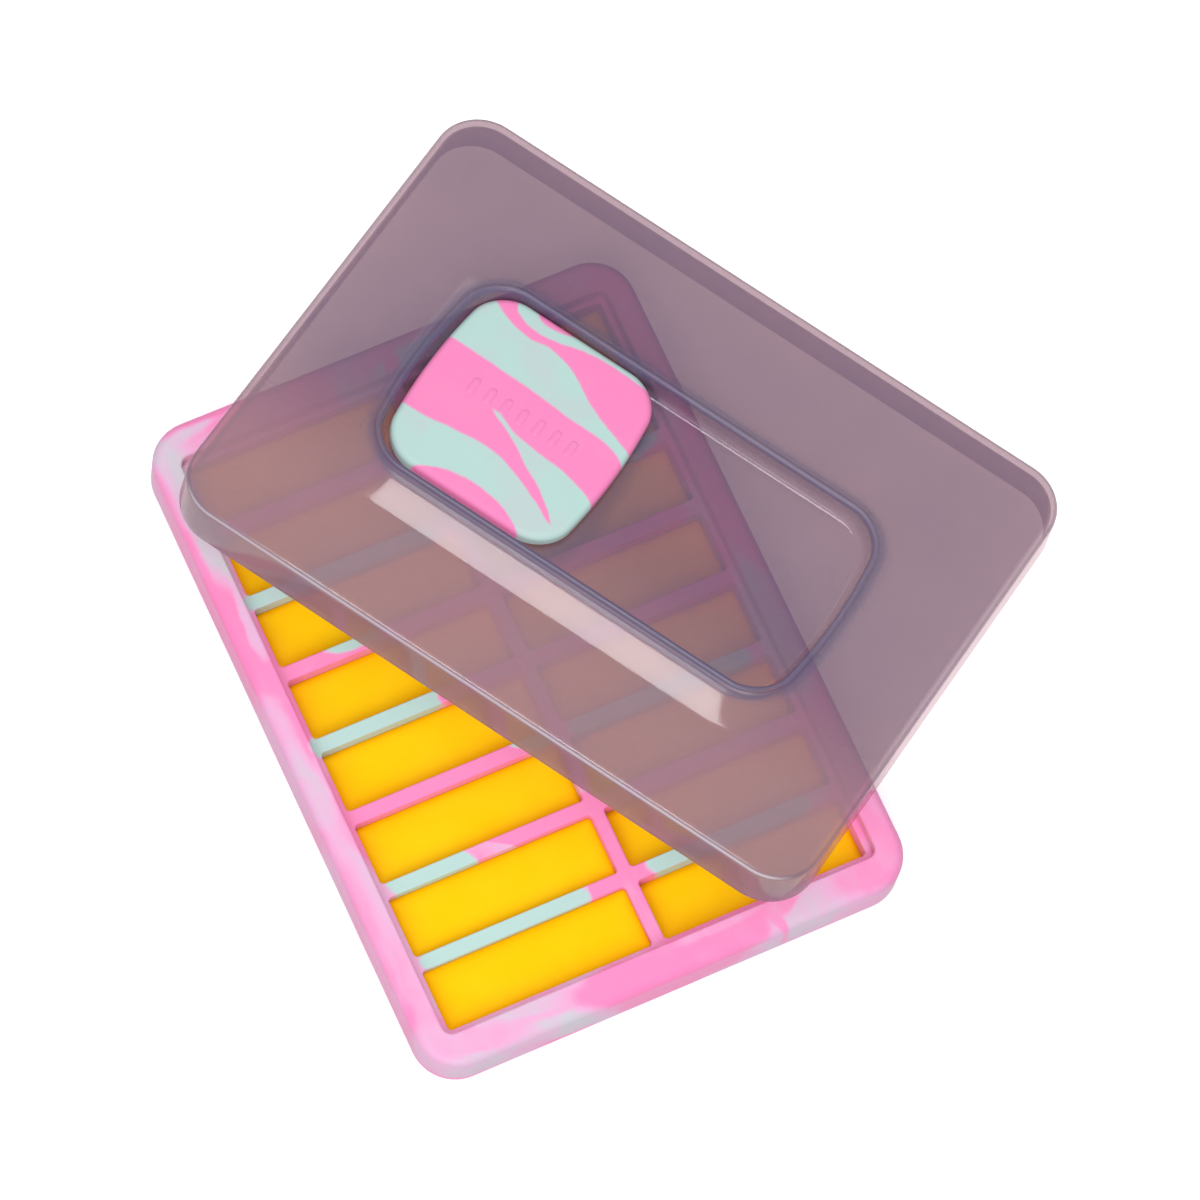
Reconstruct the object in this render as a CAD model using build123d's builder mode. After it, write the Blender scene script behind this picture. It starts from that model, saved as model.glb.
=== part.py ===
from build123d import *
import os
from math import radians, tan

# Silicone bar mould with a leaning plastic lid and a square scraper kept in the lid's pocket.
# Millimetres. The origin is the centre of the tray's underside: X runs across the two columns
# of cells, Y along the rows, and Z is up. Row 0 is at -Y.

# --- tray -------------------------------------------------------------------------------------
TRAY_X = 162.2
TRAY_Y = 221.8
TRAY_HEIGHT = 17.0
TRAY_CORNER = 14.0
TRAY_TOP_ROUND = 3.0
TRAY_FOOT_ROUND = 1.2

LEDGE_HEIGHT = 12.0
LEDGE_WIDTH = 2.2
WELL_CORNER = 3.0
WELL_EDGE_ROUND = 0.8
WELL_FLOOR_ROUND = 0.6

ROWS = 8
COLUMNS = 2
ROW_PITCH = 25.0
CELL_X = 67.9
CELL_Y = 20.2
CENTRE_RIB = 4.2
CELL_CORNER = 1.3
CELL_DRAFT = 3.0
CELL_MOUTH_ROUND = 0.5
TRAY_FLOOR = 2.0

COLUMN_PITCH = CELL_X + CENTRE_RIB
WELL_X = 2 * CELL_X + CENTRE_RIB + 2 * LEDGE_WIDTH
WELL_Y = (ROWS - 1) * ROW_PITCH + CELL_Y + 2 * LEDGE_WIDTH

# --- bars cast in the cells -------------------------------------------------------------------
# The height of each bar's top over the tray's underside, from row 0 up, left column then right.
BAR_TOPS = (
    (10.0, 8.9, 7.9, 7.2, 6.7, 6.6, 6.6, 6.8),
    (6.4, 6.2, 6.2, 6.4, 6.4, 6.4, 6.6, 6.6),
)
BAR_GAP = 0.2
BAR_EDGE_ROUND = 0.5

# --- lid --------------------------------------------------------------------------------------
# Its own plane has its origin at the middle of the skirt's open end, x along the lid and z out
# through the plate. The skirt bears on two sides of the tray's rim, and one corner is on the table.
LID_PLACE = (45.8, 31.7, 12.8)
LID_TURN = -58.2
LID_LEAN = 7.9
LID_ROLL = -0.25

LID_X = 228.6
LID_Y = 169.6
LID_CORNER = 16.0
LID_FLARE = 0.5
LID_HEIGHT = 16.8
LID_WALL = 1.8
LID_EDGE_ROUND = 1.6

POCKET_X = 151.2
POCKET_Y = 71.6
POCKET_BOW = 4.0
POCKET_CORNER = 11.5
POCKET_DEPTH = 8.4
POCKET_DRAFT = 2.0
POCKET_FLOOR_ROUND = 2.0

# The collar round the pocket: height over the plate, and how far it stands outside the pocket.
COLLAR_SECTIONS = ((-1.0, 10.5), (0.0, 10.5), (0.5, 7.0), (1.5, 3.8), (3.4, 2.0))
COLLAR_HOLLOW = ((-1.9, 10.0), (-0.3, 4.2))
COLLAR_RIM_ROUND = 0.8

RIM_HEIGHT = LID_HEIGHT + COLLAR_SECTIONS[-1][0]
POCKET_FLOOR = RIM_HEIGHT - POCKET_DEPTH
POCKET_INSET = POCKET_DEPTH * tan(radians(POCKET_DRAFT))

LEVEL_TOLERANCE = 0.001
lid_plane = Plane(Location(LID_PLACE, (0, 0, LID_TURN)) * Location((0, 0, 0), (-LID_LEAN, LID_ROLL, 0)))

# --- scraper ----------------------------------------------------------------------------------
SCRAPER_X = 67.8
SCRAPER_Y = 68.0
SCRAPER_THICK = 5.6
SCRAPER_CORNER = 11.5
SCRAPER_BOW = 3.2
SCRAPER_EDGE_ROUND = 1.8
SCRAPER_CENTRE = (-39.3, 1.2)
SCRAPER_GAP = 0.1
GRIP_COUNT = 7
GRIP_PITCH = 6.0
GRIP_X = 2.6
GRIP_Y = 6.4
GRIP_HEIGHT = 0.4
GRIP_ROOT = 0.5


def bowed_outline(plane, size_x, size_y, bow, corner):
    """A rectangle with straight long sides, ends bowed outward by bow, and round corners."""
    half_x = size_x / 2
    half_y = size_y / 2
    with BuildSketch(plane) as outline:
        with BuildLine():
            Line((bow - half_x, half_y), (half_x - bow, half_y))
            ThreePointArc((half_x - bow, half_y), (half_x, 0), (half_x - bow, -half_y))
            Line((half_x - bow, -half_y), (bow - half_x, -half_y))
            ThreePointArc((bow - half_x, -half_y), (-half_x, 0), (bow - half_x, half_y))
        make_face()
        fillet(outline.vertices(), corner)
    return outline.sketch


def pocket_section(height, grow):
    """The pocket's outline, grown outward, at a height over the skirt's open end."""
    size_x = POCKET_X + 2 * grow
    size_y = POCKET_Y + 2 * grow
    return bowed_outline(lid_plane.offset(height), size_x, size_y, POCKET_BOW, POCKET_CORNER + grow)


def lid_section(height, inset):
    """The lid's rounded rectangle at a height over the skirt's open end."""
    with BuildSketch(lid_plane.offset(height)) as outline:
        RectangleRounded(LID_X - 2 * inset, LID_Y - 2 * inset, LID_CORNER - inset)
    return outline.sketch


def level_edges(solid, height):
    """The edges of a lid solid that lie at one height over the skirt's open end."""
    level = lid_plane.offset(height)

    def is_level(edge):
        return all(abs(level.to_local_coords(end.center()).Z) < LEVEL_TOLERANCE for end in edge.vertices())

    return solid.edges().filter_by(is_level)


def export(piece, name):
    piece.part.label = name
    export_step(piece.part, f"parts/{name}.step")


def ledge_face(tray):
    """The level face between the cells: the one with a hole for each cell."""
    return tray.faces().sort_by(lambda face: len(face.inner_wires()))[-1]


def make_tray():
    with BuildPart() as tray:
        with BuildSketch():
            RectangleRounded(TRAY_X, TRAY_Y, TRAY_CORNER)
        extrude(amount=TRAY_HEIGHT)
        fillet(tray.edges().group_by(Axis.Z)[-1], TRAY_TOP_ROUND)
        fillet(tray.edges().group_by(Axis.Z)[0], TRAY_FOOT_ROUND)
        with BuildSketch(Plane.XY.offset(TRAY_HEIGHT)):
            RectangleRounded(WELL_X, WELL_Y, WELL_CORNER)
        extrude(amount=LEDGE_HEIGHT - TRAY_HEIGHT, mode=Mode.SUBTRACT)
        well_mouth = tray.faces().group_by(Axis.Z)[-1].face().inner_wires()[0]
        fillet(well_mouth.edges(), WELL_EDGE_ROUND)
        with BuildSketch(Plane.XY.offset(LEDGE_HEIGHT)):
            with GridLocations(COLUMN_PITCH, ROW_PITCH, COLUMNS, ROWS):
                RectangleRounded(CELL_X, CELL_Y, CELL_CORNER)
        extrude(amount=TRAY_FLOOR - LEDGE_HEIGHT, taper=CELL_DRAFT, mode=Mode.SUBTRACT)
        fillet(ledge_face(tray).outer_wire().edges(), WELL_FLOOR_ROUND)
        fillet([edge for mouth in ledge_face(tray).inner_wires() for edge in mouth.edges()], CELL_MOUTH_ROUND)
    return tray


def make_bar(column, row):
    """One casting: it follows the cell's drafted walls and stands clear of them by BAR_GAP."""
    top = BAR_TOPS[column][row]
    inset = BAR_GAP + (LEDGE_HEIGHT - top) * tan(radians(CELL_DRAFT))
    centre_x = (column - (COLUMNS - 1) / 2) * COLUMN_PITCH
    centre_y = (row - (ROWS - 1) / 2) * ROW_PITCH
    with BuildPart() as bar:
        with BuildSketch(Plane((centre_x, centre_y, top))):
            RectangleRounded(CELL_X - 2 * inset, CELL_Y - 2 * inset, CELL_CORNER - BAR_GAP)
        extrude(amount=TRAY_FLOOR + BAR_GAP - top, taper=CELL_DRAFT)
        fillet(bar.edges().group_by(Axis.Z)[-1], BAR_EDGE_ROUND)
    return bar


def make_lid():
    collar = [pocket_section(LID_HEIGHT + height, grow) for height, grow in COLLAR_SECTIONS]
    collar_hollow = [pocket_section(LID_HEIGHT + height, grow) for height, grow in COLLAR_HOLLOW]
    skirt = [lid_section(0, 0), lid_section(LID_HEIGHT, LID_FLARE)]
    skirt_hollow = [lid_section(0, LID_WALL), lid_section(LID_HEIGHT - LID_WALL, LID_WALL + LID_FLARE)]
    tub = [
        pocket_section(POCKET_FLOOR - LID_WALL, LID_WALL - POCKET_INSET),
        pocket_section(RIM_HEIGHT - COLLAR_RIM_ROUND, LID_WALL),
    ]
    tub_hollow = [pocket_section(POCKET_FLOOR, -POCKET_INSET), pocket_section(RIM_HEIGHT, 0)]
    with BuildPart() as lid:
        loft(sections=skirt, ruled=True)
        fillet(level_edges(lid, LID_HEIGHT), LID_EDGE_ROUND)
        loft(sections=collar, ruled=True)
        loft(sections=skirt_hollow, ruled=True, mode=Mode.SUBTRACT)
        loft(sections=collar_hollow, ruled=True, mode=Mode.SUBTRACT)
        loft(sections=tub, ruled=True)
        loft(sections=tub_hollow, ruled=True, mode=Mode.SUBTRACT)
        fillet(level_edges(lid, POCKET_FLOOR), POCKET_FLOOR_ROUND)
        fillet(level_edges(lid, RIM_HEIGHT), COLLAR_RIM_ROUND)
    return lid


def make_scraper():
    floor = lid_plane.offset(POCKET_FLOOR + SCRAPER_GAP)
    seat = Plane(floor.from_local_coords((*SCRAPER_CENTRE, 0)), floor.x_dir, floor.z_dir)
    with BuildPart() as scraper:
        add(bowed_outline(seat, SCRAPER_X, SCRAPER_Y, SCRAPER_BOW, SCRAPER_CORNER))
        extrude(amount=SCRAPER_THICK)
        top_and_bottom = scraper.faces().sort_by(SortBy.AREA)[-2:]
        fillet(top_and_bottom.edges(), SCRAPER_EDGE_ROUND)
        with BuildSketch(seat.offset(SCRAPER_THICK - GRIP_ROOT)):
            with GridLocations(GRIP_PITCH, GRIP_Y, GRIP_COUNT, 1):
                SlotOverall(GRIP_Y, GRIP_X, rotation=90)
        extrude(amount=GRIP_ROOT + GRIP_HEIGHT)
    return scraper


os.makedirs("parts", exist_ok=True)

export(make_tray(), "tray")
export(make_lid(), "lid")
export(make_scraper(), "scraper")
for column, side in enumerate(("left", "right")):
    for row in range(ROWS):
        export(make_bar(column, row), f"bar_{side}_{row + 1}")
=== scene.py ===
"""Looks for a marbled silicone bar mould, its translucent lid, and the scraper kept in the lid's pocket."""

from math import cos, exp, pi, radians, sin, tan

import bpy
from mathutils import Matrix, Vector


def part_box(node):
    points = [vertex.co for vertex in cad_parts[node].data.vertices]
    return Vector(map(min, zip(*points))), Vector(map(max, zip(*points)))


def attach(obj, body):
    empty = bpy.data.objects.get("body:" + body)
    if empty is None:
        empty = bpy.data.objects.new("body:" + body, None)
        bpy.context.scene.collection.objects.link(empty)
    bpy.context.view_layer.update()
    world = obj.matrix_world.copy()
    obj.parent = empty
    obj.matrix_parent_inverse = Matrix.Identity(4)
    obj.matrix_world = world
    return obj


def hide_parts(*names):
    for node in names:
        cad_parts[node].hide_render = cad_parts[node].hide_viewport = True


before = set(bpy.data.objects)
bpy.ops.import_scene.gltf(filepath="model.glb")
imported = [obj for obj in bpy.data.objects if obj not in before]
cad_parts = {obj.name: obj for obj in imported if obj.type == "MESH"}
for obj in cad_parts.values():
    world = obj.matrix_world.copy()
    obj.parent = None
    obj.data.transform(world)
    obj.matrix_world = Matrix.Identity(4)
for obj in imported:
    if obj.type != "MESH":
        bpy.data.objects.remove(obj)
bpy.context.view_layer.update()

MM = 0.001

# --- the frame's driving dimensions, in millimetres ---------------------------------------------
LID_PLACE = (45.8, 31.7, 12.8)
LID_TURN = -58.2
LID_LEAN = 7.9
LID_ROLL = -0.25
LID_X = 228.6
LID_Y = 169.6
LID_CORNER = 16.0
LID_FLARE = 0.5
LID_HEIGHT = 16.8
LID_WALL = 1.8
LID_EDGE_ROUND = 1.6
LIP_ROUND = 0.5

POCKET_X = 151.2
POCKET_Y = 71.6
POCKET_BOW = 4.0
POCKET_CORNER = 11.5
POCKET_DEPTH = 8.4
POCKET_DRAFT = 2.0
POCKET_END_LEAN = 1.5
POCKET_FLOOR_ROUND = 2.0
RIM_HEIGHT = 3.4
RIM_THICK = 2.0
RIM_ROUND = 0.8

# The collar's slope: height over the plate, and how far it stands outside the pocket.
COLLAR_SLOPE = ((0.0, 15.5), (0.1, 14.0), (0.35, 11.8), (0.8, 9.0), (1.25, 6.8), (1.75, 4.9), (2.3, 3.4))
COLLAR_HOLLOW = ((-1.9, 12.5), (-1.85, 11.0), (-1.5, 8.8), (-0.9, 6.2), (-0.3, 4.2), (0.2, 2.6))

SCRAPER_X = 67.8
SCRAPER_Y = 68.0
SCRAPER_THICK = 5.6
SCRAPER_CORNER = 11.5
SCRAPER_BOW = 3.2
SCRAPER_EDGE_ROUND = 1.8
SCRAPER_CENTRE = (-39.3, 1.2)
SCRAPER_GAP = 0.1
GRIP_COUNT = 7
GRIP_PITCH = 6.0
GRIP_X = 2.6
GRIP_Y = 6.4

CELL_X = 67.9
CELL_Y = 20.2
CELL_CORNER = 1.3
CELL_DRAFT = 3.0
LEDGE_HEIGHT = 12.0

lid_matrix = (
    Matrix.Translation(Vector(LID_PLACE) * MM)
    @ Matrix.Rotation(radians(LID_TURN), 4, "Z")
    @ Matrix.Rotation(radians(-LID_LEAN), 4, "X")
    @ Matrix.Rotation(radians(LID_ROLL), 4, "Y")
)


# --- materials ----------------------------------------------------------------------------------
class Graph:
    """A material's node tree, where each call adds one node and returns what it gives."""

    def __init__(self, name):
        self.material = bpy.data.materials.new(name)
        self.material.use_nodes = True
        self.tree = self.material.node_tree
        self.tree.nodes.clear()

    def add(self, kind, values=None, **settings):
        node = self.tree.nodes.new(kind)
        for key, value in settings.items():
            setattr(node, key, value)
        for key, value in (values or {}).items():
            if isinstance(value, bpy.types.NodeSocket):
                self.tree.links.new(value, node.inputs[key])
            else:
                node.inputs[key].default_value = value
        return node

    def place(self):
        """The point on the piece at rest, in the row frame, in millimetres."""
        point = self.add("ShaderNodeTexCoord").outputs["Object"]
        return self.add("ShaderNodeVectorMath", {0: point, "Scale": 1 / MM}, operation="SCALE").outputs[0]

    def lid_place(self):
        """The same point in the lid's own frame: along the lid, across it and out through the plate."""
        values = {"Vector": self.place(), "Center": LID_PLACE, "Rotation": lid_matrix.to_euler("XYZ")}
        turned = self.add("ShaderNodeVectorRotate", values, rotation_type="EULER_XYZ", invert=True).outputs[0]
        return self.add("ShaderNodeVectorMath", {0: turned, 1: LID_PLACE}, operation="SUBTRACT").outputs[0]

    def math(self, operation, a, b=0.0, clamp=False):
        return self.add("ShaderNodeMath", {0: a, 1: b}, operation=operation, use_clamp=clamp).outputs[0]

    def noise(self, place, size, detail=2.0, roughness=0.5):
        """Soft noise about 0.5, with features about size millimetres across."""
        values = {"Vector": place, "Scale": 1 / size, "Detail": detail, "Roughness": roughness}
        return self.add("ShaderNodeTexNoise", values)

    def sway(self, place, size, reach):
        """The place, pushed about by soft noise."""
        noise = self.noise(place, size).outputs["Color"]
        centred = self.add("ShaderNodeVectorMath", {0: noise, 1: (0.5, 0.5, 0.5)}, operation="SUBTRACT")
        values = {0: centred.outputs[0], "Scale": 2 * reach}
        push = self.add("ShaderNodeVectorMath", values, operation="SCALE")
        return self.add("ShaderNodeVectorMath", {0: place, 1: push.outputs[0]}).outputs[0]

    def ramp(self, value, low, high, to_low=0.0, to_high=1.0):
        """The value, eased from to_low at low to to_high at high."""
        values = {"Value": value, "From Min": low, "From Max": high, "To Min": to_low, "To Max": to_high}
        return self.add("ShaderNodeMapRange", values, interpolation_type="SMOOTHSTEP").outputs["Result"]

    def ramp_line(self, value, low, high):
        """The value as a plain share of the way from low to high."""
        values = {"Value": value, "From Min": low, "From Max": high}
        return self.add("ShaderNodeMapRange", values, interpolation_type="LINEAR").outputs["Result"]

    def blend(self, factor, a, b):
        """The number a at 0, and b at 1."""
        node = self.add("ShaderNodeMix", {"Factor": factor, 2: a, 3: b}, data_type="FLOAT")
        return node.outputs[0]

    def tint(self, factor, a, b):
        """The colour a at 0, and b at 1."""
        node = self.add("ShaderNodeMix", {"Factor": factor, 6: a, 7: b}, data_type="RGBA")
        return node.outputs[2]

    def curve(self, value, points, span):
        """A smooth curve through points, in millimetres, read at value. Both ways it covers span."""
        low, high = span
        scale = high - low
        share = self.ramp_line(value, low, high)
        node = self.add("ShaderNodeFloatCurve", {"Value": share})
        track = node.mapping.curves[0]
        marks = [((x - low) / scale, (y - low) / scale) for x, y in points]
        while len(track.points) < len(marks):
            track.points.new(0.5, 0.5)
        for point, mark in zip(track.points, marks):
            point.location = mark
        node.mapping.update()
        scaled = self.math("MULTIPLY", node.outputs[0], scale)
        return self.math("ADD", scaled, low)

    def surface(self, shader):
        """Puts the shader on the material, and gives the material back."""
        output = self.add("ShaderNodeOutputMaterial")
        self.tree.links.new(shader, output.inputs["Surface"])
        return self.material


PINK = (0.92, 0.24, 0.52, 1)
LILAC = (0.80, 0.42, 0.66, 1)
MINT = (0.46, 0.665, 0.63, 1)


def marble_colour(graph, amount):
    """Mint at 0, pink at 1, with lilac where the two silicones have mixed."""
    first = graph.tint(graph.ramp(amount, 0.0, 0.55), MINT, LILAC)
    return graph.tint(graph.ramp(amount, 0.45, 1.0), first, PINK)


def silicone(graph, colour, place):
    """A satin silicone shader: slightly soft inside, with a very fine moulded skin."""
    skin = graph.noise(place, 0.9, detail=3.0).outputs["Fac"]
    bump = graph.add("ShaderNodeBump", {"Height": skin, "Strength": 0.06, "Distance": 0.1 * MM})
    values = {
        "Base Color": colour,
        "Roughness": graph.ramp(skin, 0.2, 0.8, 0.42, 0.52),
        "Normal": bump.outputs[0],
        "Specular IOR Level": 0.35,
        "Subsurface Weight": 0.12,
        "Subsurface Radius": (1.0, 0.5, 0.6),
        "Subsurface Scale": 2.5 * MM,
        "Sheen Weight": 0.08,
    }
    return graph.add("ShaderNodeBsdfPrincipled", values).outputs[0]


# Where the tray's silicone is pink (1) or mint (0): centre x, y, half width, half height, turn in
# degrees, amount, and how soft the patch's edge is. Later patches lie over earlier ones.
TRAY_MARBLING = (
    # left rim, from the top corner down
    (-75, 96, 6, 20, 0, 0.30, 0.9),
    (-66, 108, 14, 3.5, 12, 0.32, 0.9),
    (-83, 98, 3.5, 28, 0, 0.75, 0.9),
    (-60, 112, 16, 4, 0, 0.95, 0.7),
    (-75, 66, 4.5, 24, 0, 0.28, 0.9),
    (-81, 66, 2.2, 20, 3, 0.85, 0.9),
    (-80, 38, 7, 22, -4, 1.0, 0.7),
    (-73, 44, 2.0, 12, 0, 0.42, 0.9),
    (-79, 4, 5, 18, 0, 0.55, 0.9),
    (-77, -14, 4.0, 15, 0, 0.40, 0.9),
    (-84, -8, 3, 26, 0, 0.62, 0.9),
    (-77, -46, 3.5, 16, 4, 0.45, 0.9),
    (-82, -64, 4.5, 30, 0, 0.72, 0.9),
    (-75, -78, 4, 16, 0, 0.66, 0.9),
    # bottom rim, from the left corner on
    (-76, -104, 11, 10, 0, 0.52, 0.8),
    (-62, -111, 16, 2.5, -12, 0.34, 0.9),
    (-52, -104, 20, 4.0, 0, 0.60, 0.9),
    (-44, -102, 16, 2.4, -8, 0.36, 0.9),
    (-34, -109, 13, 2.2, -8, 0.28, 0.9),
    (-8, -105.5, 27, 5.5, -4, 1.0, 0.6),
    (18, -101, 16, 1.6, 0, 0.72, 0.9),
    (22, -107, 16, 3.5, 6, 0.92, 0.7),
    (45, -107, 12, 7, 12, 0.34, 0.7),
    (40, -102, 6, 2, 30, 0.80, 0.8),
    (35, -106, 1.6, 5, 12, 0.85, 0.8),
    (68, -103, 14, 6, 0, 0.80, 0.8),
    (78, -112, 10, 4, 30, 0.32, 0.9),
    # right and top rims
    (78, -80, 7, 20, 0, 0.8, 0.7),
    (75, -20, 6, 26, 0, 0.35, 0.6),
    (79, 30, 7, 30, 0, 0.95, 0.5),
    (76, 85, 7, 20, 0, 0.9, 0.6),
    (30, 106, 40, 7, 0, 0.7, 0.7),
    (10, 103, 16, 4, 5, 0.2, 0.6),
    # ribs of the left column, from the bottom up
    (-41, -75, 28, 8, 0, 0.0, 0.10),
    (-2, -75, 11, 9, 0, 1.0, 0.12),
    (-55, -50, 16.0, 9, -20, 0.0, 0.10),
    (-14, -50, 25, 8, -20, 1.0, 0.10),
    (-42, -25, 30, 7, 0, 1.0, 0.12),
    (-9, -24, 6, 2.0, -12, 0.0, 0.3),
    (-50, 0, 21, 7, 0, 0.0, 0.12),
    (-15, 0, 16, 7, 0, 0.95, 0.12),
    (-62, 24.5, 18, 7, 0, 0.95, 0.3),
    (-47, 26.2, 9, 2.2, -10, 0.0, 0.5),
    (-20, 25, 16, 6, 0, 0.95, 0.3),
    (-40, 50, 32, 7, 0, 0.03, 0.12),
    (-35, 75, 34, 7, 0, 0.9, 0.15),
    # ribs of the right column and the centre rib
    (35, -75, 27, 7, 0, 0.0, 0.12),
    (35, -50, 30, 7, 0, 0.9, 0.15),
    (35, -25, 32, 7, 0, 0.05, 0.15),
    (35, 0, 32, 7, 0, 0.9, 0.15),
    (35, 25, 32, 7, 0, 1.0, 0.15),
    (35, 50, 32, 7, 0, 0.05, 0.15),
    (35, 75, 32, 7, 0, 0.8, 0.15),
    (0, -90, 3.2, 14, 0, 0.85, 0.4),
    (0, 60, 3.2, 60, 0, 0.8, 0.4),
)


# The patches belong to the tray's top. Below this height they give way to a plain drift of the two colours.
FOOT_BLEND = 5.0


BROAD_SWAY = (26.0, 4.5)
FINE_SWAY = (7.0, 0.7)
DRIFT_SIZE = 34.0
STREAK_SIZE = 5.0
STREAK_STRETCH = (1.0, 0.35, 1.0)
STREAK_AMOUNT = 0.05
NO_LIMIT = 1e6


def patch_mask(graph, place, patch):
    """1 inside an upright elliptical patch, 0 outside it."""
    x, y, half_x, half_y, turn, _, soft = patch
    values = {
        "Vector": place,
        "Location": (x, y, 0),
        "Rotation": (0, 0, radians(turn)),
        "Scale": (half_x, half_y, NO_LIMIT),
    }
    mapped = graph.add("ShaderNodeMapping", values, vector_type="TEXTURE").outputs[0]
    reach = graph.add("ShaderNodeVectorMath", {0: mapped}, operation="LENGTH").outputs["Value"]
    return graph.ramp(reach, 1 + soft / 2, 1 - soft / 2)


def tray_material():
    graph = Graph("marbled_tray_silicone")
    place = graph.place()
    swayed = graph.sway(graph.sway(place, *BROAD_SWAY), *FINE_SWAY)
    drift = graph.noise(swayed, DRIFT_SIZE, detail=1.0).outputs["Fac"]
    drifting = graph.ramp(drift, 0.36, 0.62, 0.35, 0.95)
    amount = drifting
    for patch in TRAY_MARBLING:
        amount = graph.blend(patch_mask(graph, swayed, patch), amount, patch[5])
    height = graph.add("ShaderNodeSeparateXYZ", {0: place}).outputs[2]
    amount = graph.blend(graph.ramp(height, 0.0, FOOT_BLEND), drifting, amount)
    streak_place = graph.add("ShaderNodeMapping", {"Vector": swayed, "Scale": STREAK_STRETCH}).outputs[0]
    streak = graph.noise(streak_place, STREAK_SIZE, detail=3.0).outputs["Fac"]
    streak = graph.ramp(streak, 0.3, 0.7, -STREAK_AMOUNT, STREAK_AMOUNT)
    amount = graph.math("ADD", amount, streak, clamp=True)
    return graph.surface(silicone(graph, marble_colour(graph, amount), place))


# The scraper's bands, as borders across it: how far along the lid, and how far from its own middle line.
BAND_SPAN = (-78.0, 40.0)
WEDGE_TOP = (
    (-78, 39), (-62.6, 38), (-61.6, 31.8), (-58, 28.8), (-51, 27.5), (-45, 28.3), (-38, 30.4), (-5, 30.7),
)
WEDGE_LOW = (
    (-78, 39), (-70, 31.4), (-63, 26.8), (-53, 24.3), (-45, 25.2), (-35, 22.5), (-24, 16.2), (-5, 9.4),
)
TOP_LENS = ((-78, 39), (-57, 36), (-53, 32), (-48, 31.4), (-43, 32.6), (-37, 36), (-5, 39))
BAND_TOP = ((-78, 10), (-45, 9.6), (-28, 8.7), (-9, 6.8), (-4, 3.5))
BAND_LOW = (
    (-78, -16.6), (-66, -17.8), (-55, -16.4), (-42, -15.1), (-33, -16.8), (-20, -22), (-13, -25.4), (-4, -24),
)
MINT_TOP = ((-78, -30), (-54, -8), (-47.5, -3.2), (-38, -5.9), (-28, -7.2), (-12, -9.4), (-5, -12.6))
MINT_LOW = (
    (-78, 20), (-54, 2), (-48, -3.4), (-41, -6.4), (-30, -13), (-20, -18.8), (-12.6, -25.2), (-5, -34),
)
BOTTOM_LENS = (
    (-78, -60), (-60, -36), (-52, -30.4), (-43, -28.1), (-33, -28.1), (-24, -31), (-17, -36), (-5, -60),
)
BAND_SOFTNESS = 0.55


def scraper_material():
    graph = Graph("marbled_scraper_silicone")
    place = graph.lid_place()
    swayed = graph.sway(graph.sway(place, 9.0, 0.55), 2.0, 0.16)
    axes = graph.add("ShaderNodeSeparateXYZ", {0: swayed})
    along = axes.outputs[0]
    across = graph.math("SUBTRACT", axes.outputs[1], SCRAPER_CENTRE[1])

    def over(points, softness=BAND_SOFTNESS):
        """1 on the far side of a border, 0 on the near side."""
        border = graph.curve(along, points, BAND_SPAN)
        return graph.ramp(graph.math("SUBTRACT", across, border), -softness, softness)

    def between(low, top):
        return graph.math("MULTIPLY", over(low), graph.math("SUBTRACT", 1.0, over(top)))

    wedge = between(WEDGE_LOW, WEDGE_TOP)
    band = between(BAND_LOW, BAND_TOP)
    cut = graph.math("SUBTRACT", 1.0, between(MINT_LOW, MINT_TOP))
    bottom = graph.math("SUBTRACT", 1.0, over(BOTTOM_LENS))
    amount = graph.math("MAXIMUM", wedge, over(TOP_LENS))
    amount = graph.math("MAXIMUM", amount, graph.math("MULTIPLY", band, cut))
    amount = graph.math("MAXIMUM", amount, bottom)
    fade = graph.noise(place, 16.0, detail=1.0).outputs["Fac"]
    amount = graph.math("ADD", amount, graph.ramp(fade, 0.35, 0.7, -0.02, 0.10), clamp=True)
    colour = graph.tint(amount, MINT, PINK)
    return graph.surface(silicone(graph, colour, place))


BAR_YELLOW = (0.99, 0.585, 0.0, 1)
# The deeper orange is painted shade along the cell walls; the tone attribute says how much of it each ring
# gets.
BAR_WALL_SHADE = (0.84, 0.34, 0.0, 1)
WALL_SHADE_TONE = "wall_shade_tone"


def bar_material():
    graph = Graph("cast_yellow")
    place = graph.place()
    # Painted shade: the casting turns a deeper orange along the cell walls, where the walls shade it.
    edge = graph.add("ShaderNodeAttribute", attribute_name=WALL_SHADE_TONE).outputs["Fac"]
    cloud = graph.noise(place, 14.0, detail=3.0).outputs["Fac"]
    depth = graph.math("ADD", edge, graph.ramp(cloud, 0.3, 0.7, -0.02, 0.06), clamp=True)
    colour = graph.tint(depth, BAR_YELLOW, BAR_WALL_SHADE)
    ripple = graph.noise(place, 9.0, detail=2.0).outputs["Fac"]
    bump = graph.add("ShaderNodeBump", {"Height": ripple, "Strength": 0.25, "Distance": 0.4 * MM})
    values = {
        "Base Color": colour,
        "Roughness": graph.ramp(cloud, 0.3, 0.7, 0.36, 0.44),
        "Normal": bump.outputs[0],
        "Specular IOR Level": 0.03,
        "Subsurface Weight": 0.15,
        "Subsurface Radius": (1.0, 0.6, 0.1),
        "Subsurface Scale": 3.0 * MM,
        # A faint painted glow: the bars give off a little of their own yellow.
        "Emission Color": BAR_YELLOW,
        "Emission Strength": 0.05,
    }
    return graph.surface(graph.add("ShaderNodeBsdfPrincipled", values).outputs[0])


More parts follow.
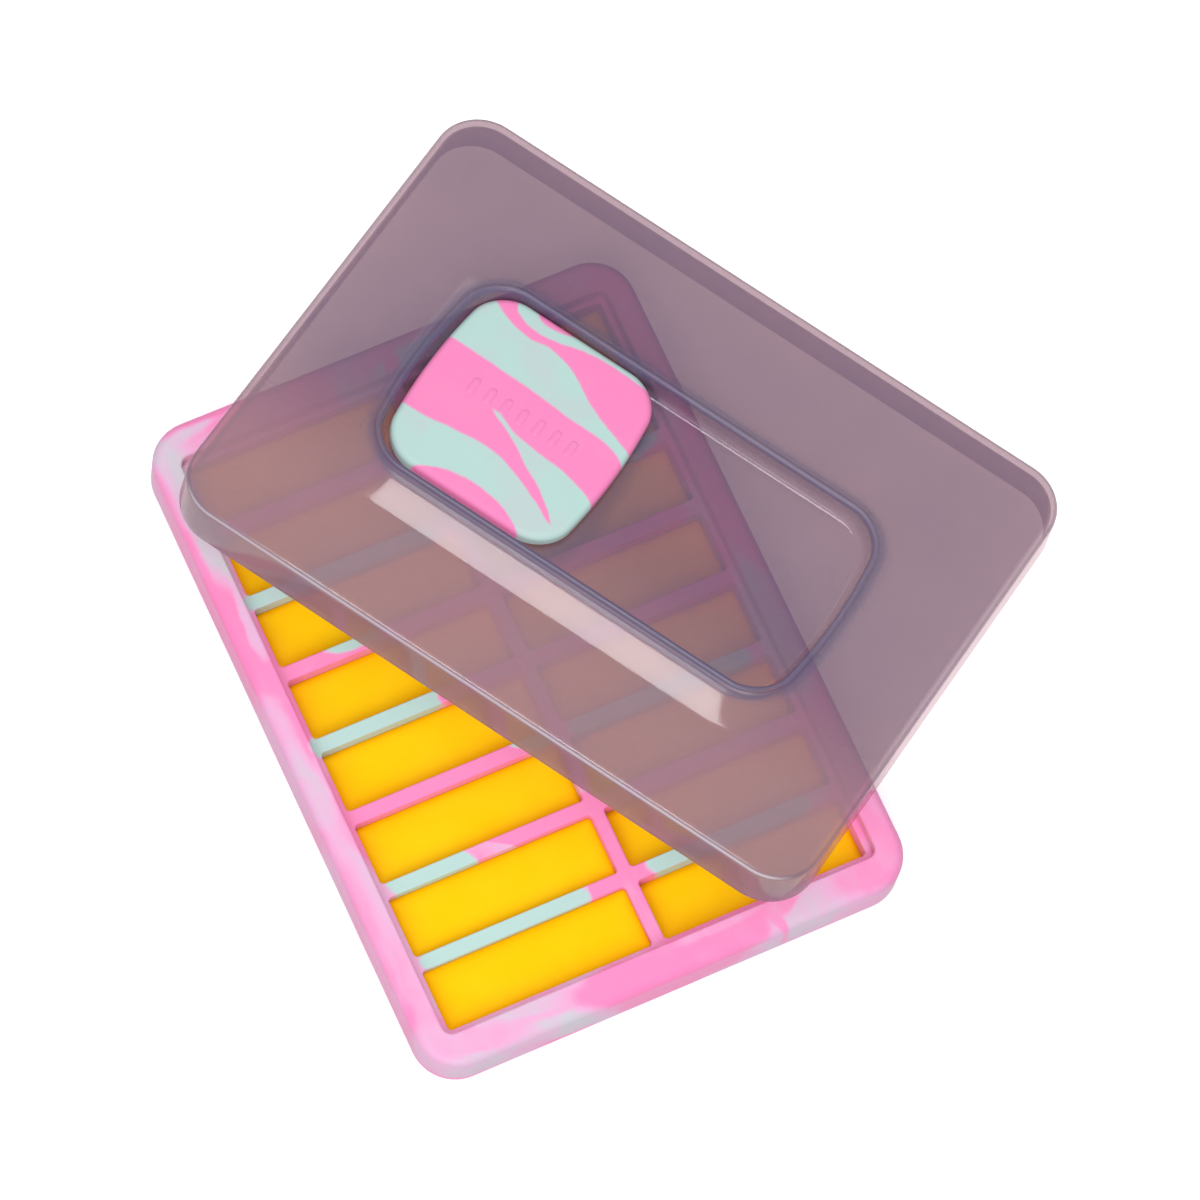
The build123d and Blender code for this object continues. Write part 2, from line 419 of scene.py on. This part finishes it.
LID_TINT = (0.93, 0.72, 0.69, 1)
LID_HAZE_FAR = (0.125, 0.13, 0.22, 1)
# The near haze is painted light: lighter, as if the near side were lit more strongly.
LID_HAZE_NEAR_LIT = (0.31, 0.225, 0.275, 1)
LID_SHARE_FAR = 0.52
LID_SHARE_NEAR = 0.62
SKIRT_TINT = (0.94, 0.84, 0.86, 1)
SKIRT_HAZE = (0.36, 0.30, 0.37, 1)
SKIRT_SHARE = 0.24
SLATE = (0.095, 0.09, 0.18, 1)
SLATE_SHARE = 0.86
SLATE_ROUGHNESS = 0.32
NEAR_SKIRT_SLATE = 0.2
# The colour of the painted highlight along the plate's edge.
EDGE_HIGHLIGHT_COLOUR = (0.80, 0.72, 0.76, 1)
SLATE_TONE = "slate_tone"
SKIRT_TONE = "skirt_tone"
EDGE_HIGHLIGHT_TONE = "edge_highlight_tone"
# Where, across the lid, the haze turns from far to near (painted light: lighter towards the near side), the
# skirt clears, and the painted edge highlight shows.
NEAR_LIGHT_SPAN = (-5.0, -62.0)
CLEAR_SKIRT_SPAN = (-84.0, -60.0)
EDGE_HIGHLIGHT_SPAN = (-77.0, -83.0)


def lid_material():
    """Smoky translucent plastic: tinted and hazy, clearer in the far skirt, and slate on the pocket's rim.
    Its haze is painted lighter towards the near side, and a painted highlight runs along the plate's near
    edge.
    """
    graph = Graph("smoke_lid_plastic")
    place = graph.lid_place()
    slate = graph.add("ShaderNodeAttribute", attribute_name=SLATE_TONE).outputs["Fac"]
    skirt = graph.add("ShaderNodeAttribute", attribute_name=SKIRT_TONE).outputs["Fac"]
    tone = graph.add("ShaderNodeAttribute", attribute_name=EDGE_HIGHLIGHT_TONE).outputs["Fac"]
    across = graph.add("ShaderNodeSeparateXYZ", {0: place}).outputs[1]
    # Painted light: towards the near side the haze turns lighter and covers more.
    near = graph.ramp(across, *NEAR_LIGHT_SPAN)
    clear_side = graph.ramp(across, *CLEAR_SKIRT_SPAN)
    near_skirt = graph.math("MULTIPLY", skirt, graph.math("SUBTRACT", 1.0, clear_side))
    slate = graph.math("ADD", slate, graph.math("MULTIPLY", near_skirt, NEAR_SKIRT_SLATE), clamp=True)
    skirt = graph.math("MULTIPLY", skirt, clear_side)
    # Painted highlight: the pale band on the plate's edge round, on the near side only.
    pale = graph.math("MULTIPLY", tone, graph.ramp(across, *EDGE_HIGHLIGHT_SPAN))
    cloud = graph.noise(place, 40.0, detail=2.0).outputs["Fac"]
    share = graph.blend(near, LID_SHARE_FAR, LID_SHARE_NEAR)
    share = graph.math("ADD", share, graph.ramp(cloud, 0.3, 0.7, -0.012, 0.012))
    share = graph.blend(skirt, share, SKIRT_SHARE)
    share = graph.blend(slate, share, SLATE_SHARE)
    share = graph.blend(pale, share, 1.0)
    ripple = graph.noise(place, 30.0, detail=1.0).outputs["Fac"]
    bump = graph.add("ShaderNodeBump", {"Height": ripple, "Strength": 0.12, "Distance": 0.6 * MM})
    # The haze colour carries the painted light towards the near side.
    haze = graph.tint(skirt, graph.tint(near, LID_HAZE_FAR, LID_HAZE_NEAR_LIT), SKIRT_HAZE)
    values = {
        "Base Color": graph.tint(pale, graph.tint(slate, haze, SLATE), EDGE_HIGHLIGHT_COLOUR),
        "Roughness": graph.blend(slate, graph.ramp(cloud, 0.3, 0.7, 0.05, 0.075), SLATE_ROUGHNESS),
        "Normal": bump.outputs[0],
        "Specular IOR Level": 0.5,
    }
    plastic = graph.add("ShaderNodeBsdfPrincipled", values).outputs[0]
    tint = graph.tint(skirt, LID_TINT, SKIRT_TINT)
    clear = graph.add("ShaderNodeBsdfTransparent", {"Color": tint}).outputs[0]
    return graph.surface(graph.add("ShaderNodeMixShader", {0: share, 1: clear, 2: plastic}).outputs[0])


# --- mesh work ----------------------------------------------------------------------------------
ARC_STEPS = 12
LONG_STEPS = 16
SHORT_STEPS = 12


def outline(half_x, half_y, corner, bow=0.0, height=0.0, centre=(0.0, 0.0)):
    """A closed rounded rectangle, anticlockwise. Its ends bow out, and its point count never changes."""
    inner_x = half_x - bow - corner
    inner_y = half_y - corner
    flat = []
    for quarter, (side_x, side_y) in enumerate(((1, 1), (-1, 1), (-1, -1), (1, -1))):
        for step in range(ARC_STEPS + 1):
            angle = (quarter + step / ARC_STEPS) * pi / 2
            flat.append((side_x * inner_x + corner * cos(angle), side_y * inner_y + corner * sin(angle)))
        x, y = flat[-1]
        steps = LONG_STEPS if quarter % 2 == 0 else SHORT_STEPS
        end_x = -x if quarter % 2 == 0 else x
        end_y = y if quarter % 2 == 0 else -y
        for step in range(1, steps):
            share = step / steps
            flat.append((x + (end_x - x) * share, y + (end_y - y) * share))
    ring = []
    for x, y in flat:
        stretch = 1 + bow / (half_x - bow) * (1 - (y / half_y) ** 2)
        ring.append((centre[0] + x * stretch, centre[1] + y, height))
    return ring


def loft(name, rings, tones=None, matrix=None):
    """A closed mesh, in metres, whose skin runs through rings given in millimetres. tones gives each ring's
    value of each named attribute, and matrix puts the rings in the row frame."""
    count = len(rings[0])
    points = [Vector(point) * MM for ring in rings for point in ring]
    if matrix is not None:
        points = [matrix @ point for point in points]
    faces = []
    for low in range(len(rings) - 1):
        for i in range(count):
            j = (i + 1) % count
            corners = (low * count + i, low * count + j)
            faces.append((*corners, corners[1] + count, corners[0] + count))
    faces.append(tuple(reversed(range(count))))
    faces.append(tuple((len(rings) - 1) * count + i for i in range(count)))
    mesh = bpy.data.meshes.new(name)
    mesh.from_pydata(points, [], faces)
    mesh.polygons.foreach_set("use_smooth", [True] * len(mesh.polygons))
    for tone_name, values in (tones or {}).items():
        tone = mesh.attributes.new(tone_name, "FLOAT", "POINT")
        tone.data.foreach_set("value", [value for value in values for _ in range(count)])
    mesh.validate()
    mesh.update()
    piece = bpy.data.objects.new(name, mesh)
    bpy.context.scene.collection.objects.link(piece)
    return piece


def arc(steps, start, end):
    """Angles in radians from start to end degrees, both included."""
    return [radians(start + (end - start) * step / steps) for step in range(steps + 1)]


# --- the lid ------------------------------------------------------------------------------------
LID_CORNER_SHRINK = 12.0
POCKET_CORNER_LEAST = 2.0

# The steps round each small edge.
LIP_STEPS = 4
EDGE_STEPS = 8
RIM_STEPS = 6
FLOOR_ROUND_STEPS = 8
TUB_STEPS = 4
UNDER_STEPS = 5

# The skirt's rings, as shares of its height, and how much of the lip counts as skirt.
SKIRT_SHARES = (0.25, 0.5, 0.92)
LIP_SKIRT = 0.8
# The plate's rings: how far in from its round edge, and how far outside the collar.
PLATE_INSETS = (0.5, 4.0)
PLATE_MARGIN = 1.5
# The painted highlight line on the plate's edge: how strong, at what angle on the round, and how wide.
EDGE_HIGHLIGHT = 0.6
EDGE_HIGHLIGHT_ANGLE = radians(42)
EDGE_HIGHLIGHT_SPREAD = radians(14)
EDGE_SLATE = 0.5
COLLAR_SLATE = 0.6
RIM_OUTER_SLATE = 0.8
RIM_INNER_SLATE = 0.9
# The pocket's wall: how deep each ring lies, and how slate it is.
POCKET_WALL = (
    (RIM_ROUND + 0.4, 0.7),
    (RIM_ROUND + 1.6, 0.25),
    (POCKET_DEPTH - POCKET_FLOOR_ROUND - 0.4, 0.12),
)
# The pocket floor's rings, in from where its fillet ends, then a last ring this far short of the middle line.
FLOOR_INSETS = (0.5, 4.0, 14.0)
FLOOR_CORE = 1.0 - POCKET_Y / 2

TUB_ROUND = 1.2
TUB_SLATE = 0.1
TUB_WALL_SLATE = 0.2
TUB_WALL_SHARES = (0.3, 0.8)
TUB_INSETS = (14.0, 4.0, TUB_ROUND + 0.4)
UNDER_ROUND = 1.2
UNDER_SLATE = 0.05
UNDER_INSETS = (6.0, UNDER_ROUND + 0.5)
INNER_SKIRT_SHARES = (0.75, 0.4)

POCKET_SLOPE = tan(radians(POCKET_DRAFT))


def lid_ring(height, inset):
    corner = LID_CORNER - min(inset, LID_CORNER_SHRINK)
    return outline(LID_X / 2 - inset, LID_Y / 2 - inset, corner, height=height)


def pocket_ring(height, grow, end_grow=0.0):
    """The pocket's outline, grown outward, and by end_grow more at its two ends."""
    half_x = POCKET_X / 2 + grow + end_grow
    half_y = POCKET_Y / 2 + grow
    corner = min(max(POCKET_CORNER + grow, POCKET_CORNER_LEAST), half_y - 0.1)
    return outline(half_x, half_y, corner, POCKET_BOW, height)


def lid_side(height):
    """How far the skirt has leaned in at a height."""
    return LID_FLARE * height / LID_HEIGHT


def row(ring, slate=0.0, skirt=0.0, pale=0.0):
    """One ring of the shell, with how slate it is, how much of it is skirt, and how much painted highlight it
    carries.
    """
    return ring, (slate, skirt, pale)


def outer_skirt_rows():
    rows = []
    for angle in arc(LIP_STEPS, -90, 0):
        height = LIP_ROUND * (1 + sin(angle))
        rows.append(row(lid_ring(height, LIP_ROUND * (1 - cos(angle)) + lid_side(height)), skirt=LIP_SKIRT))
    for share in SKIRT_SHARES:
        height = (LID_HEIGHT - LID_EDGE_ROUND) * share
        rows.append(row(lid_ring(height, lid_side(height)), skirt=1.0))
    return rows


def plate_rows():
    """Round the plate's edge, over the plate and up the collar to the rim."""
    rows = []
    for angle in arc(EDGE_STEPS, 0, 90):
        height = LID_HEIGHT - LID_EDGE_ROUND * (1 - sin(angle))
        inset = lid_side(LID_HEIGHT) + LID_EDGE_ROUND * (1 - cos(angle))
        # The painted highlight peaks at one angle on the edge's round.
        pale = EDGE_HIGHLIGHT * exp(-(((angle - EDGE_HIGHLIGHT_ANGLE) / EDGE_HIGHLIGHT_SPREAD) ** 2))
        rows.append(row(lid_ring(height, inset), slate=EDGE_SLATE * sin(2 * angle), pale=pale))
    for inset in PLATE_INSETS:
        rows.append(row(lid_ring(LID_HEIGHT, LID_FLARE + LID_EDGE_ROUND + inset)))
    rows.append(row(pocket_ring(LID_HEIGHT, COLLAR_SLOPE[0][1] + PLATE_MARGIN)))
    for height, grow in COLLAR_SLOPE:
        slate = COLLAR_SLATE * exp(COLLAR_SLOPE[-1][1] - grow)
        rows.append(row(pocket_ring(LID_HEIGHT + height, grow), slate=slate))
    return rows


def pocket_rows():
    """Over the rim, down the pocket's wall and in over its floor."""
    rows = []
    top = LID_HEIGHT + RIM_HEIGHT
    for angle in arc(RIM_STEPS, 0, 90):
        height = top - RIM_ROUND * (1 - sin(angle))
        rows.append(row(pocket_ring(height, RIM_THICK - RIM_ROUND * (1 - cos(angle))), slate=RIM_OUTER_SLATE))
    for angle in arc(RIM_STEPS, 90, 180):
        height = top - RIM_ROUND * (1 - sin(angle))
        rows.append(row(pocket_ring(height, RIM_ROUND * (1 + cos(angle))), slate=RIM_INNER_SLATE))
    for depth, slate in POCKET_WALL:
        ends = POCKET_END_LEAN * depth / POCKET_DEPTH
        rows.append(row(pocket_ring(top - depth, -depth * POCKET_SLOPE, -ends), slate=slate))
    floor = top - POCKET_DEPTH
    flat = -POCKET_DEPTH * POCKET_SLOPE - POCKET_FLOOR_ROUND
    for angle in arc(FLOOR_ROUND_STEPS, 0, 90):
        height = floor + POCKET_FLOOR_ROUND * (1 - sin(angle))
        rows.append(row(pocket_ring(height, flat + POCKET_FLOOR_ROUND * cos(angle), -POCKET_END_LEAN)))
    for grow in (*(flat - inset for inset in FLOOR_INSETS), FLOOR_CORE):
        rows.append(row(pocket_ring(floor, grow, -POCKET_END_LEAN)))
    return rows


def tub_rows():
    """From under the middle of the pocket's floor, round the tub and out under the plate."""
    rows = []
    floor = LID_HEIGHT + RIM_HEIGHT - POCKET_DEPTH - LID_WALL
    foot = LID_WALL - POCKET_DEPTH * POCKET_SLOPE
    for grow in (FLOOR_CORE, *(foot - inset for inset in TUB_INSETS)):
        rows.append(row(pocket_ring(floor, grow, -POCKET_END_LEAN)))
    for angle in arc(TUB_STEPS, -90, 0):
        height = floor + TUB_ROUND * (1 + sin(angle))
        ring = pocket_ring(height, foot - TUB_ROUND * (1 - cos(angle)), -POCKET_END_LEAN)
        rows.append(row(ring, slate=TUB_SLATE))
    wall = LID_HEIGHT + COLLAR_HOLLOW[-1][0] - floor - TUB_ROUND
    for share in TUB_WALL_SHARES:
        ring = pocket_ring(floor + TUB_ROUND + wall * share, foot, -POCKET_END_LEAN * (1 - share))
        rows.append(row(ring, slate=TUB_WALL_SLATE))
    for height, grow in reversed(COLLAR_HOLLOW):
        rows.append(row(pocket_ring(LID_HEIGHT + height, grow)))
    rows.append(row(pocket_ring(LID_HEIGHT - LID_WALL, COLLAR_SLOPE[0][1])))
    return rows


def inner_skirt_rows():
    """Under the plate, down the skirt's inside and round to the lip."""
    rows = []
    under = LID_HEIGHT - LID_WALL
    for inset in UNDER_INSETS:
        rows.append(row(lid_ring(under, LID_FLARE + LID_WALL + inset)))
    for angle in arc(UNDER_STEPS, 90, 0):
        height = under - UNDER_ROUND * (1 - sin(angle))
        inset = lid_side(height) + LID_WALL + UNDER_ROUND * (1 - cos(angle))
        rows.append(row(lid_ring(height, inset), slate=UNDER_SLATE, skirt=cos(angle)))
    for share in INNER_SKIRT_SHARES:
        rows.append(row(lid_ring(under * share, lid_side(under * share) + LID_WALL), skirt=1.0))
    for angle in arc(LIP_STEPS, 180, 270):
        height = LIP_ROUND * (1 + sin(angle))
        inset = lid_side(height) + LID_WALL - LIP_ROUND * (1 + cos(angle))
        rows.append(row(lid_ring(height, inset), skirt=LIP_SKIRT))
    return rows


def make_lid():
    """One closed shell: its rings run from the tub's underside, round the lip, to the pocket's floor."""
    rows = tub_rows() + inner_skirt_rows() + outer_skirt_rows() + plate_rows() + pocket_rows()
    rings = [ring for ring, _ in rows]
    tones = dict(zip((SLATE_TONE, SKIRT_TONE, EDGE_HIGHLIGHT_TONE), zip(*(marks for _, marks in rows))))
    piece = loft("lid_shell", rings, tones, lid_matrix)
    piece.data.materials.append(lid_material())
    piece.visible_shadow = False
    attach(piece, "lid")
    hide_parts("lid")


# --- the scraper --------------------------------------------------------------------------------
SCRAPER_SEAT = LID_HEIGHT + RIM_HEIGHT - POCKET_DEPTH + SCRAPER_GAP
SCRAPER_CROWN = 0.12
SCRAPER_BASE_INSETS = (30.0, 10.0, SCRAPER_EDGE_ROUND + 0.5)
SCRAPER_CORE_INSET = 31.0
CROWN_SHARES = (0.04, 0.12, 0.3, 0.55, 0.8, 0.95)
SCRAPER_LOW_STEPS = 6
SCRAPER_TOP_STEPS = 8


def scraper_ring(height, inset):
    half_x = SCRAPER_X / 2 - inset
    half_y = SCRAPER_Y / 2 - inset
    shrink = 2 * half_x / SCRAPER_X
    corner = SCRAPER_CORNER * shrink
    return outline(half_x, half_y, corner, SCRAPER_BOW * shrink, SCRAPER_SEAT + height, SCRAPER_CENTRE)


def make_scraper(material):
    """The tile, from the middle of its underside round its edge to the middle of its slightly crowned top."""
    rings = [scraper_ring(0, inset) for inset in SCRAPER_BASE_INSETS]
    for angle in arc(SCRAPER_LOW_STEPS, -90, 0):
        height = SCRAPER_EDGE_ROUND * (1 + sin(angle))
        rings.append(scraper_ring(height, SCRAPER_EDGE_ROUND * (1 - cos(angle))))
    shoulder = SCRAPER_THICK - SCRAPER_CROWN - SCRAPER_EDGE_ROUND
    for angle in arc(SCRAPER_TOP_STEPS, 0, 90):
        height = shoulder + SCRAPER_EDGE_ROUND * sin(angle)
        rings.append(scraper_ring(height, SCRAPER_EDGE_ROUND * (1 - cos(angle))))
    for share in CROWN_SHARES:
        inset = SCRAPER_EDGE_ROUND + (SCRAPER_CORE_INSET - SCRAPER_EDGE_ROUND) * share
        rings.append(scraper_ring(SCRAPER_THICK - SCRAPER_CROWN * (1 - share) ** 2, inset))
    piece = loft("scraper_tile", rings, matrix=lid_matrix)
    piece.data.materials.append(material)
    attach(piece, "scraper")
    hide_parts("scraper")


# A grip's height over the scraper, and how far its outline has drawn in there.
GRIP_PROFILE = (
    (-0.5, 0.0), (0.0, 0.0), (0.05, 0.14), (0.12, 0.40), (0.18, 0.70), (0.21, 0.95), (0.22, 1.15),
)


def make_grip(index, material):
    """One low rounded rib, a finger grip on the scraper's top."""
    centre = (SCRAPER_CENTRE[0] + (index - (GRIP_COUNT - 1) / 2) * GRIP_PITCH, SCRAPER_CENTRE[1])
    base = SCRAPER_SEAT + SCRAPER_THICK
    rings = []
    for height, inset in GRIP_PROFILE:
        half_x = GRIP_X / 2 - inset
        rings.append(outline(half_x, GRIP_Y / 2 - inset, half_x, 0.0, base + height, centre))
    piece = loft(f"scraper_grip_{index + 1}", rings, matrix=lid_matrix)
    piece.data.materials.append(material)
    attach(piece, "scraper")


# --- the bars -----------------------------------------------------------------------------------
BAR_WALL_GAP = 0.04
MENISCUS_RISE = 0.55
MENISCUS_REACH = 0.9
# The rings of a bar's foot: height over its underside, and how far in. Then those of its top, how far in.
BAR_FOOT = ((0.0, 8.0), (0.0, 0.6), (0.2, 0.1), (0.6, 0.0))
BAR_TOP_INSETS = (0.0, 0.25, 0.55, 0.95, 1.5, 2.4, 3.8, 6.0, 8.2)
BAR_CORNER_LEAST = 0.3
BAR_TOP_MARGIN = 0.02
# How far in from the wall the painted shade, a deeper orange, reaches.
WALL_SHADE_REACH = 1.6


def make_bar(node, material):
    """A casting that fills its cell and creeps up the walls."""
    low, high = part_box(node)
    centre = ((low.x + high.x) / 2 / MM, (low.y + high.y) / 2 / MM)
    top = high.z / MM
    bottom = low.z / MM

    def ring(height, inset):
        lean = (LEDGE_HEIGHT - height) * tan(radians(CELL_DRAFT))
        half_x = CELL_X / 2 - lean - BAR_WALL_GAP - inset
        half_y = CELL_Y / 2 - lean - BAR_WALL_GAP - inset
        corner = max(CELL_CORNER - inset, BAR_CORNER_LEAST)
        return outline(half_x, half_y, corner, 0.0, height, centre)

    # Each ring's tone is its painted shade: full down the sides, fading inward over the top away from the
    # walls.
    rows = [(ring(bottom + height, inset), 1.0) for height, inset in BAR_FOOT]
    rows.append((ring((bottom + top - BAR_TOP_MARGIN) / 2, 0.0), 1.0))
    for inset in BAR_TOP_INSETS:
        height = top - MENISCUS_RISE + MENISCUS_RISE * exp(-inset / MENISCUS_REACH)
        rows.append((ring(height, inset), exp(-inset / WALL_SHADE_REACH)))
    piece = loft(f"{node}_casting", [row for row, _ in rows], {WALL_SHADE_TONE: [tone for _, tone in rows]})
    piece.data.materials.append(material)
    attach(piece, node)
    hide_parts(node)


# --- the stage ----------------------------------------------------------------------------------
FLOOR_SIZE = 8.0
FLOOR_DROP = 0.05
CAMERA_LENS = 225.0
CAMERA_SENSOR = 36.0
CAMERA_AZIMUTH = -38.911
CAMERA_ELEVATION = 71.035
CAMERA_ROLL = 14.939
CAMERA_DISTANCE = 2.319
CAMERA_AIM = (0.0318, 0.01193, 0.0)


def make_floor():
    """A pale floor just under the tray, clear from behind so that the tray can be seen from beneath."""
    graph = Graph("pale_floor")
    grain = graph.noise(graph.place(), 300.0).outputs["Fac"]
    colour = graph.tint(grain, (0.93, 0.93, 0.93, 1), (0.95, 0.95, 0.95, 1))
    values = {
        "Base Color": colour,
        "Roughness": 0.9,
        "Specular IOR Level": 0.1,
        "Emission Color": (1, 1, 1, 1),
        "Emission Strength": 0.36,
    }
    shader = graph.add("ShaderNodeBsdfPrincipled", values).outputs[0]
    behind = graph.add("ShaderNodeNewGeometry").outputs["Backfacing"]
    clear = graph.add("ShaderNodeBsdfTransparent").outputs[0]
    shader = graph.add("ShaderNodeMixShader", {0: behind, 1: shader, 2: clear}).outputs[0]
    half = FLOOR_SIZE / 2
    drop = -FLOOR_DROP * MM
    mesh = bpy.data.meshes.new("floor")
    corners = [(-half, -half, drop), (half, -half, drop), (half, half, drop), (-half, half, drop)]
    mesh.from_pydata(corners, [], [(0, 1, 2, 3)])
    floor = bpy.data.objects.new("floor", mesh)
    bpy.context.scene.collection.objects.link(floor)
    floor.data.materials.append(graph.surface(shader))
    floor.visible_diffuse = False


def make_world():
    world = bpy.data.worlds.new("studio")
    world.use_nodes = True
    background = world.node_tree.nodes["Background"]
    background.inputs["Color"].default_value = (1.0, 0.99, 0.985, 1)
    background.inputs["Strength"].default_value = 0.46
    bpy.context.scene.world = world


def make_softbox(name, direction, distance, size, radiance, long_way=None):
    """An area light that faces the object from a direction, of a given brightness seen straight on. Its
    first side lies along long_way where that is given."""
    lamp = bpy.data.lights.new(name, "AREA")
    lamp.shape = "RECTANGLE"
    lamp.size, lamp.size_y = size
    lamp.energy = radiance * pi * size[0] * size[1]
    light = bpy.data.objects.new(name, lamp)
    toward = Vector(direction).normalized()
    light.location = Vector(CAMERA_AIM) + toward * distance
    light.rotation_mode = "QUATERNION"
    if long_way is None:
        light.rotation_quaternion = toward.to_track_quat("Z", "Y")
    else:
        across = toward.cross(Vector(long_way)).normalized()
        axes = Matrix((across.cross(toward), across, toward)).transposed()
        light.rotation_quaternion = axes.to_quaternion()
    bpy.context.scene.collection.objects.link(light)


def make_lights():
    """One box that the collar's near slope mirrors, a broad one on the near side and a weak one far off."""
    across_lid = lid_matrix.to_3x3() @ Vector((0, 1, 0))
    make_softbox("overhead_box", (0.11, 0.205, 0.97), 1.6, (0.68, 0.30), 12.0, across_lid)
    make_softbox("near_box", (-0.45, -0.55, 0.70), 2.0, (1.5, 1.5), 3.6)
    make_softbox("far_box", (0.15, 0.88, 0.45), 2.0, (0.9, 0.5), 1.5)


def make_camera():
    azimuth = radians(CAMERA_AZIMUTH)
    elevation = radians(CAMERA_ELEVATION)
    roll = radians(CAMERA_ROLL)
    back = Vector((sin(azimuth) * cos(elevation), -cos(azimuth) * cos(elevation), sin(elevation)))
    level = Vector((0, 0, 1)).cross(back).normalized()
    upright = back.cross(level)
    up = upright * cos(roll) - level * sin(roll)
    right = up.cross(back)
    data = bpy.data.cameras.new("camera")
    data.sensor_width = CAMERA_SENSOR
    data.lens = CAMERA_LENS
    camera = bpy.data.objects.new("camera", data)
    matrix = Matrix((right, up, back)).transposed().to_4x4()
    matrix.translation = Vector(CAMERA_AIM) + back * CAMERA_DISTANCE
    camera.matrix_world = matrix
    bpy.context.scene.collection.objects.link(camera)
    bpy.context.scene.camera = camera


def dress(node, material):
    """A CAD node keeps its shape and gets a material."""
    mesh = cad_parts[node].data
    mesh.materials.clear()
    mesh.materials.append(material)


dress("tray", tray_material())
make_lid()
scraper_look = scraper_material()
make_scraper(scraper_look)
for index in range(GRIP_COUNT):
    make_grip(index, scraper_look)
bar_look = bar_material()
for node in sorted(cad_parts):
    if node.startswith("bar_"):
        make_bar(node, bar_look)

make_floor()
make_world()
make_lights()
make_camera()
bpy.context.scene.view_settings.view_transform = "Standard"
